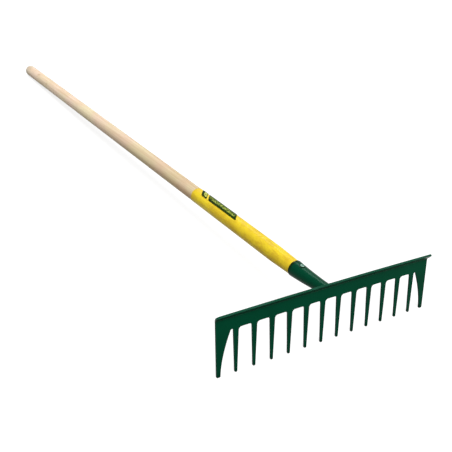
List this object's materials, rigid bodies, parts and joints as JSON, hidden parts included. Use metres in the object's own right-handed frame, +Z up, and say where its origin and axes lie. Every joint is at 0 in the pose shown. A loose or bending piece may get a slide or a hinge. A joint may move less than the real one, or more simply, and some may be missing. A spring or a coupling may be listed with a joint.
{
  "type": "garden rake",
  "caption": "Long handled garden rake: toothed pressed steel head with a stiffening lip, welded socket, wooden handle with a plastic sleeve.",
  "frame": {"origin": "on the floor, below the middle of the rake's bounding box", "axes": "+Z up; the rake lies on its tooth tips and the far end of its handle; +Y along the handle from the head to the far end; X along the head"},
  "size_m": [0.379, 1.463, 0.0945],
  "materials": {
    "green_paint": "glossy enamel",
    "bare_wood": "sanded, unvarnished",
    "yellow_film": "satin film",
    "label_green": "printed film",
    "zinc": "zinc plated"
  },
  "bodies": {
    "root": {"rake_head": "green_paint", "weld_bead": "green_paint", "socket": "green_paint", "handle": "bare_wood", "yellow_sleeve": "yellow_film", "label_panel": "label_green", "label_emblem": "label_green", "screw": "zinc"}
  },
  "joints": []
}
